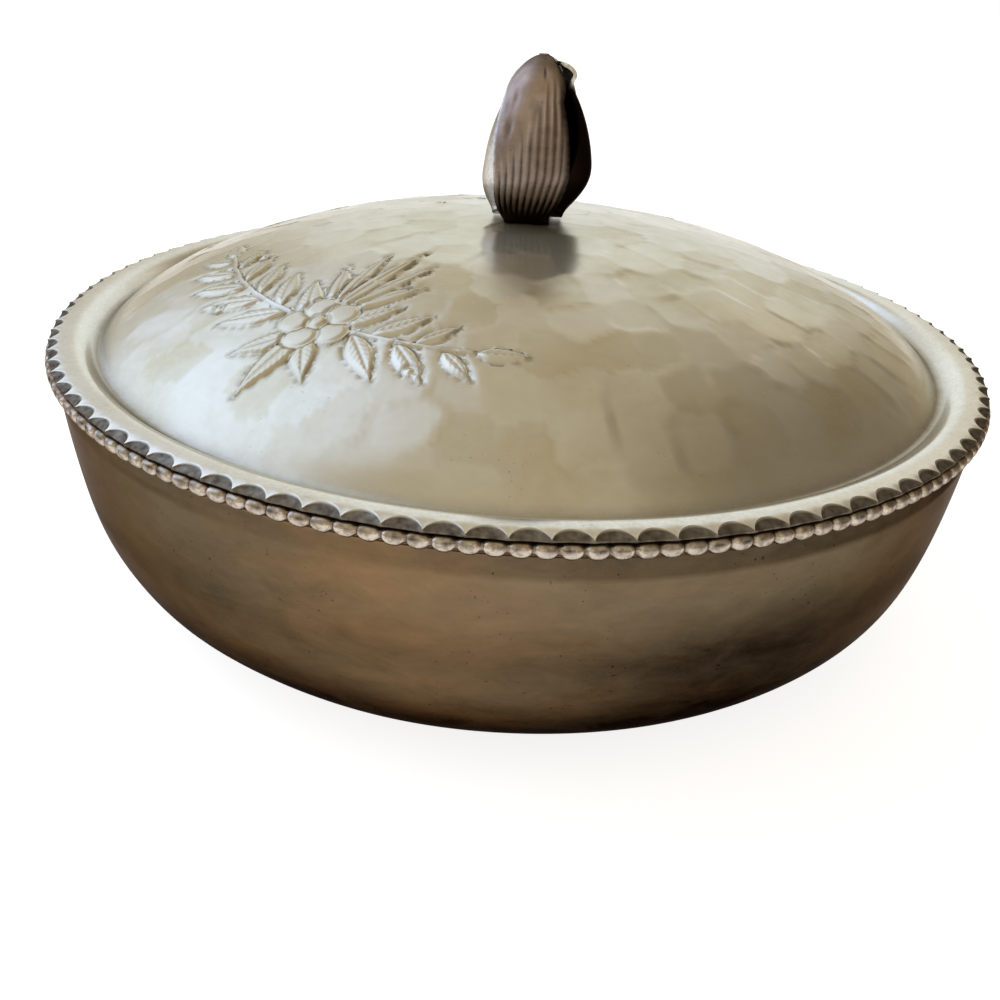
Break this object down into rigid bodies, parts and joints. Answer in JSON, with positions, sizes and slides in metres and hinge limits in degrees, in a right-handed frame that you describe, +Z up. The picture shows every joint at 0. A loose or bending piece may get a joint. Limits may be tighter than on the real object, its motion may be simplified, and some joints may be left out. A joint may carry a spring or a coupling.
{
  "type": "covered casserole dish",
  "caption": "Round covered casserole in hammered sheet aluminium, with a beaded bowl rim, a scalloped domed lid and a folded flower bud knob.",
  "frame": {"origin": "middle of the flat underside of the bowl, where the dish stands", "axes": "+Z up along the axis of the bowl and lid; -Y towards the ribbed petal that faces the viewer; +X to the viewer's right, the side the bud leans to"},
  "size_m": [0.254, 0.254, 0.138],
  "materials": {
    "bowl_metal": "hammered, tarnished warm brown",
    "lid_metal": "hammered, dull polish with dark specks",
    "knob_metal": "pressed ribs, dull polish, dark in the folds",
    "fastener_metal": "plain"
  },
  "bodies": {
    "dish": {"bowl": "bowl_metal"},
    "lid": {"lid": "lid_metal", "knob_outer_petals": "knob_metal", "knob_inner_petals": "knob_metal", "knob_screw": "fastener_metal", "knob_washer": "fastener_metal", "lid_washer": "fastener_metal", "knob_nut": "fastener_metal"}
  },
  "joints": [
    {"name": "lid_lift", "type": "slide", "parent": "dish", "child": "lid", "axis": [0, 0, 1], "range_m": [0, 0.12]}
  ]
}
